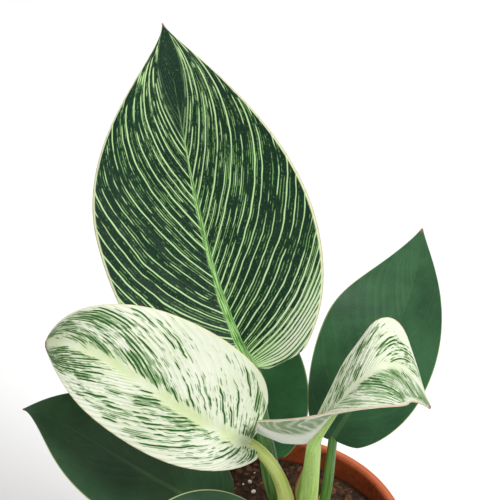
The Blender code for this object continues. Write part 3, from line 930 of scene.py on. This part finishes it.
def dashed_finish(name, density, tip_green, rib_green, shade_half=0.0):
    """Cream with dark green dashes.

    density shifts how much of it they cover, tip_green adds to the tip, rib_green tints the midrib, and
    shade_half paints grey-green shade onto the half on its side of zero.
    """
    finish = Finish(name, specular_ior_level=0.28)
    vein, across = finish.uv("veins")
    along, off = finish.uv("place")
    reach = across.math("ABSOLUTE")
    place = finish.place()
    wobble = (finish.grain(place, 0.12, 2.0) - 0.5) * 1.2
    near_rib = finish.step(off.math("ABSOLUTE"), 0.026, 0.004)
    side = across.math("SIGN") * 31.0
    cluster = finish.grain(finish.vector(vein * 7.0 + side, reach * 2.6), 1.0, 2.0)
    cover = (cluster - 0.5) * 0.6 + density + finish.step(along, 0.70, 1.0) * tip_green
    cover = cover - finish.step(reach, 0.84, 0.98) * 0.2 - near_rib * 0.22
    number, away = line_set(vein, across, DASH_LINES, wobble)
    spacing = spacing_of(finish, DASH_LINES)
    offset = away * spacing
    run = finish.grain(finish.vector(number * 7.3, reach * 3.8, along * 3.4), 1.0, 3.0, 0.62)
    widest = (spacing * 0.27).math("MINIMUM", 0.31)
    width = ((run + cover - 0.51) * 3.4 + finish.chance(number) * 0.20 - 0.12).math("MINIMUM", widest)
    dark = finish.step(offset, width + 0.10, width - 0.10)
    fine_number, fine_away = line_set(vein, across, FINE_DASH_LINES, wobble * 2.4)
    fine_offset = fine_away * spacing_of(finish, FINE_DASH_LINES)
    fine_run = finish.grain(finish.vector(fine_number * 5.1, reach * 8.0, along * 6.0), 1.0, 2.0, 0.6)
    fine_width = ((fine_run + cover - 0.56) * 2.4).math("MINIMUM", 0.24)
    fine = finish.step(fine_offset, fine_width + 0.1, fine_width - 0.1)
    halo = finish.step(offset, width + 0.45, width)
    cream = finish.mix(finish.grain(place, 0.06, 3.0), seen(214, 222, 192), seen(240, 243, 226))
    patches = finish.step(finish.grain(place, 0.15), 0.2, 0.7)
    rib_tint = finish.step(off.math("ABSOLUTE"), 0.055, 0.0) * patches
    cream = finish.mix(rib_tint * rib_green, cream, seen(190, 212, 128))
    # Painted shade: the half on the shade_half side is tinted grey-green inside its edge band, broken up by
    # soft streaks.
    if shade_half:
        soft = finish.grain(finish.vector(number * 3.3, reach * 2.6, 3.0), 1.0, 2.0)
        shaded = finish.step(across * shade_half, 0.0, 0.15) * finish.step(reach, 0.84, 0.66)
        shaded = shaded * finish.step(soft + along * 0.1 - offset * 0.25, 0.30, 0.62)
        cream = finish.mix(shaded * 0.85, cream, seen(84, 126, 72))
    color = finish.mix(halo * 0.5, cream, seen(168, 200, 126))
    color = finish.mix(fine * 0.8, color, seen(74, 128, 52))
    color = finish.mix(dark, color, finish.mix(run, seen(2, 50, 6), seen(34, 100, 20)))
    color = edge_and_tip(finish, color, across, along, seen(226, 231, 198), 0.05, seen(206, 168, 138))
    skin = finish.grain(place, 1.3, 3.0)
    ridges = finish.step(away, 0.5, 0.0) * (1 - near_rib)
    finish.bump(skin * 0.3 + ridges * 0.8, 0.4, 0.0006)
    return finish.paint(base_color=color, roughness=0.38 + skin * 0.14)


cream_under = underside_finish("cream leaf underside", seen(112, 146, 88), seen(246, 248, 234))
cream_skin = dashed_finish("cream leaf", 0.045, 0.02, 0.6)
make_blade("cream_front_blade", CREAM_FRONT, cream_skin, cream_under, "leaf_cream_front", "leaf_cream")
yellow_stalk = stalk_finish(
    "yellow-green stalk", seen(184, 204, 86), seen(224, 234, 146), 0.15, flare_color=seen(184, 72, 34)
)
low_wings = ((20, 1.1, 0.10, 0.42), (160, 1.1, 0.10, 0.36))
make_stalk(
    "cream_front_stalk",
    CREAM_FRONT,
    yellow_stalk,
    "leaf_cream_front",
    "leaf_cream",
    groove=0.1,
    wings=low_wings,
)


# Folded cream leaf
# The youngest open leaf, on the stoutest stalk. It is still folded along its midrib, the near half stands up
# with a rolled edge, and the tip bends over to the right. The speckled stalk has a wide red-edged sheath.
CREAM_FOLDED = {
    "stalk": ((12.8, -2.0, 104.8), (14.2, -10.0, 126.0), (14.5, -15.5, 147.0)),
    "stalk_radius": (4.0, 2.6),
    "midrib": ((13.5, -19.0, 166.2), (25.2, -18.0, 186.9), (39.4, -13.0, 197.5), (55.2, -13.0, 176.8)),
    "face": ((-0.8, 0.22, 0.5), (0.45, -0.1, 0.9)),
    "half_width": (18.2, 23.0),
    "belly": (0.57, 0.45),
    "base": (0.40, 0.12),
    "tip": (2.5, 0.9),
    "lobe": (2.0, 11.0),
    "lobe_round": (1.5, 0.7),
    "lean": (0.68, 0.0),
    "fold": ((18.0, 4.0, 6.0), (98.0, 6.0, 0.0)),
    "curl": ((0.0, 0.0, 0.0), (0.0, 0.0, 0.0)),
    "roll": (0.0, 60.0),
    "wave": (0.5, 3.0, 0.6),
    "sweep": ((0.7, 0.4), (1.0, 0.8)),
    "pleat": 0.12,
}

folded_skin = dashed_finish("folded cream leaf", 0.01, -0.02, 0.25, shade_half=1.0)
make_blade("cream_folded_blade", CREAM_FOLDED, folded_skin, cream_under, "leaf_cream_folded", "leaf_cream")
speckled_stalk = stalk_finish(
    "speckled light stalk", seen(158, 204, 88), seen(206, 234, 146), 0.6, flare_color=seen(186, 74, 34)
)
wide_wing = ((132, WIDEST_WING, 0.12, 0.50),)
make_stalk(
    "cream_folded_stalk",
    CREAM_FOLDED,
    speckled_stalk,
    "leaf_cream_folded",
    "leaf_cream",
    groove=0.1,
    wings=wide_wing,
)


# Plain green leaves
# Four older leaves, dark green with a waxy bloom, faint side veins, a paler midrib and a thin yellow-green
# edge. Their stalks are slim and grooved, and leave the stem lower down.
GREEN_LINES = 17.0
FINE_GREEN_LINES = 84.0

GREEN_RIGHT = {
    "stalk": ((17.9, 1.6, 95.0), (21.0, 0.2, 114.0), (22.3, 0.0, 132.0)),
    "stalk_radius": (2.2, 1.6),
    "midrib": ((23.0, 0.0, 148.1), (38.6, 14.0, 169.8), (49.8, 30.0, 187.3), (55.0, 48.0, 206.8)),
    "face": ((-0.05, -0.8, 0.6), (-0.1, -0.75, 0.65)),
    "half_width": (25.0, 19.0),
    "belly": (0.45, 0.30),
    "base": (0.55, 0.46),
    "tip": (1.14, 1.27),
    "lobe": (5.0, 2.0),
    "fold": ((6.0, 5.0, 3.0), (6.0, 5.0, 3.0)),
    "curl": ((0.0, 0.0, 0.0), (0.0, 0.0, 0.0)),
    "roll": (0.0, 0.0),
    "wave": (0.4, 2.2, 0.2),
    "sweep": ((1.4, 1.2), (1.4, 1.2)),
    "pleat": 0.02,
}
GREEN_BACK = {
    "stalk": ((10.9, 5.4, 93.0), (4.0, 12.5, 95.0), (0.0, 22.0, 99.5)),
    "stalk_radius": (1.9, 1.5),
    "midrib": ((-1.6, 30.0, 107.9), (-0.8, 44.0, 123.0), (-4.0, 56.0, 143.0), (-11.0, 70.0, 159.0)),
    "face": ((0.1, -0.7, 0.7), (0.0, -0.7, 0.7)),
    "half_width": (17.0, 17.0),
    "belly": (0.36, 0.36),
    "base": (0.42, 0.42),
    "tip": (1.2, 1.2),
    "lobe": (4.0, 4.0),
    "fold": ((5.0, 5.0, 3.0), (5.0, 5.0, 3.0)),
    "curl": ((0.0, 0.0, 0.0), (0.0, 0.0, 0.0)),
    "roll": (0.0, 0.0),
    "wave": (0.4, 2.4, 0.5),
    "sweep": ((1.4, 1.2), (1.4, 1.2)),
    "pleat": 0.02,
}
GREEN_LEFT = {
    "stalk": ((7.5, 0.8, 89.0), (0.5, 0.5, 91.5), (-8.0, -0.5, 98.0)),
    "stalk_radius": (2.0, 1.6),
    "midrib": ((-15.0, -2.0, 107.5), (-43.7, -10.0, 139.6), (-67.2, -16.0, 168.5), (-84.6, -14.0, 177.6)),
    "face": ((0.1, -0.5, 0.85), (-0.1, -0.5, 0.85)),
    "half_width": (19.0, 25.0),
    "belly": (0.42, 0.27),
    "base": (0.50, 0.50),
    "tip": (1.8, 1.32),
    "lobe": (8.0, 3.0),
    "fold": ((5.0, 4.0, 3.0), (5.0, 0.0, 3.0)),
    "curl": ((0.0, 0.0, 0.0), (0.0, -20.0, 0.0)),
    "roll": (0.0, 0.0),
    "wave": (0.5, 2.5, 0.0),
    "sweep": ((1.4, 1.2), (1.4, 1.2)),
    "pleat": 0.02,
}
GREEN_FRONT = {
    "stalk": ((12.0, -5.7, 89.0), (9.0, -13.0, 107.0), (3.5, -20.0, 121.0)),
    "stalk_radius": (2.1, 1.6),
    "midrib": ((-3.0, -26.0, 130.0), (-22.0, -42.0, 140.0), (-42.0, -58.0, 136.0), (-61.0, -71.0, 120.0)),
    "face": ((0.1, -0.15, 1.0), (-0.3, -0.3, 0.9)),
    "half_width": (21.6, 22.0),
    "belly": (0.38, 0.38),
    "base": (0.42, 0.42),
    "tip": (1.3, 1.3),
    "lobe": (6.0, 6.0),
    "fold": ((6.0, 5.0, 3.0), (6.0, 5.0, 3.0)),
    "curl": ((0.0, -10.0, 0.0), (0.0, -10.0, 0.0)),
    "roll": (0.0, 0.0),
    "wave": (0.5, 2.3, 0.4),
    "sweep": ((1.4, 1.2), (1.4, 1.2)),
    "pleat": 0.02,
}


def green_finish(name, dark, light, edge_color, edge_width):
    """Clouded dark green with faint side veins, pale flecks and a thin light edge."""
    finish = Finish(name, specular_ior_level=0.35)
    vein, across = finish.uv("veins")
    along, off = finish.uv("place")
    place = finish.place()
    number, away = line_set(vein, across, GREEN_LINES, (finish.grain(place, 0.06) - 0.5) * 0.7)
    fine_wobble = (finish.grain(place, 0.1) - 0.5) * 2.0
    fine_number, fine_away = line_set(vein, across, FINE_GREEN_LINES, fine_wobble)
    cloud = finish.grain(place, 0.05, 4.0, 0.6)
    fleck = finish.grain(place, 2.0, 2.0)
    color = finish.mix(finish.step(cloud, 0.3, 0.7), dark, light)
    side_veins = finish.step(away, 0.16, 0.02) * finish.chance(number)
    color = finish.mix(side_veins * 0.10, color, seen(84, 132, 84))
    fine_veins = finish.step(fine_away, 0.3, 0.05) * finish.chance(fine_number)
    color = finish.mix(fine_veins * 0.08, color, seen(96, 140, 90))
    color = finish.mix(finish.step(fleck, 0.66, 0.74) * 0.25, color, seen(96, 138, 92))
    rib = finish.step(off.math("ABSOLUTE"), 0.013 - along * 0.012, 0.007 - along * 0.010)
    color = finish.mix(rib * finish.step(along, 0.7, 0.2) * 0.3, color, seen(104, 146, 86))
    color = edge_and_tip(finish, color, across, along, edge_color, edge_width, edge_color)
    finish.bump(fleck * 0.35 + finish.step(away, 0.45, 0.0) * finish.chance(number) * 0.3 - rib, 0.35, 0.0005)
    return finish.paint(base_color=color, roughness=0.38 + cloud * 0.16 + fleck * 0.06)


green_under = underside_finish("green leaf underside", seen(74, 112, 66), seen(132, 162, 104))
slim_stalk = stalk_finish("slim green stalk", seen(62, 112, 50), seen(118, 164, 78), 0.25)
right_skin = green_finish("green leaf", seen(30, 70, 40), seen(50, 98, 58), seen(128, 158, 84), 0.018)
back_skin = green_finish("shaded green leaf", seen(36, 88, 50), seen(62, 122, 74), seen(150, 178, 110), 0.035)
low_skin = green_finish("old green leaf", seen(38, 72, 44), seen(56, 90, 56), seen(150, 172, 100), 0.012)
front_skin = green_finish(
    "cream-edged green leaf", seen(40, 70, 46), seen(58, 88, 58), seen(206, 214, 160), 0.03
)
for title, shape, skin in (
    ("green_right", GREEN_RIGHT, right_skin),
    ("green_back", GREEN_BACK, back_skin),
    ("green_left", GREEN_LEFT, low_skin),
    ("green_front", GREEN_FRONT, front_skin),
):
    make_blade(title + "_blade", shape, skin, green_under, "leaf_" + title, "leaf_green")
    make_stalk(title + "_stalk", shape, slim_stalk, "leaf_" + title, "leaf_green", groove=0.2, ribs=0.02)


# Sheaths
# The scale leaf that wrapped the youngest leaf still stands behind its stalk, reddish and pointed. An older
# one has dried to a tan curl that lies on the mix beside the stem.
SHEATH_RINGS = 40
SHEATH_ROUND = 28
SHEATH_RIBS = 7

SHEATHS = (
    (
        "new_leaf_sheath", "sheath", seen(110, 92, 34), seen(160, 84, 44),
        ((14.6, 5.6, 97.0), (15.5, 3.2, 118.0), (16.6, -1.9, 139.0), (19.4, -6.6, 160.0)), (1.5, 1.1, 0.4),
    ),
    (
        "dry_sheath", "dry_sheath", seen(150, 100, 58), seen(206, 162, 110),
        ((17.0, 10.0, 87.6), (18.5, 16.0, 87.3), (20.8, 24.0, 86.6), (23.3, 30.0, 85.6)), (1.2, 1.1, 0.5),
    ),
)


def sheath_finish(name, dark, light):
    """Papery and streaked along its length."""
    finish = Finish(name, specular_ior_level=0.35)
    along, turn = finish.uv("skin")
    place = finish.place()
    streaks = finish.streaks(turn, along, 9.0, 3.0, 4.0, 0.65)
    color = finish.mix(finish.step(streaks, 0.3, 0.7), dark, light)
    finish.bump(streaks + finish.grain(place, 1.2, 2.0), 0.5, 0.0004)
    return finish.paint(base_color=color, roughness=0.5 + streaks * 0.2)


def make_sheath(name, slot, dark, light, path, radii):
    """A thin pointed scale, rolled round its own length."""
    build = bmesh.new()
    bmesh.ops.create_grid(build, x_segments=SHEATH_RINGS, y_segments=SHEATH_ROUND, size=0.5)
    skin = build.loops.layers.uv.new("skin")
    known = {}
    for vert in build.verts:
        s = vert.co.x + 0.5
        turn = math.tau * (vert.co.y + 0.5)
        here = along_points(path, s)
        ahead = (along_points(path, s + 0.01) - along_points(path, s - 0.01)).normalized()
        side = ahead.cross(Vector((0.3, -1.0, 0.4))).normalized()
        up = side.cross(ahead)
        size = three(radii, s) * (1 - 0.35 * math.exp(-(((turn - math.pi / 2) / 0.5) ** 2)))
        size *= min(1.0, 0.4 + s * 20, 0.15 + (1 - s) * 9) * (1 + 0.04 * math.cos(SHEATH_RIBS * turn))
        vert.co = (here + size * (math.cos(turn) * side + math.sin(turn) * up)) * MM
        known[vert] = (s, turn / math.tau)
    for face in build.faces:
        for loop in face.loops:
            loop[skin].uv = known[loop.vert]
    close_rod(build)
    return piece(name + "_skin", build, sheath_finish(name, dark, light), stands_for=name, slot=slot)


for sheath in SHEATHS:
    make_sheath(*sheath)

boxes = {"cad": cad_box, "visual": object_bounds()}
{name: [list(corner) for corner in box] for name, box in boxes.items()}
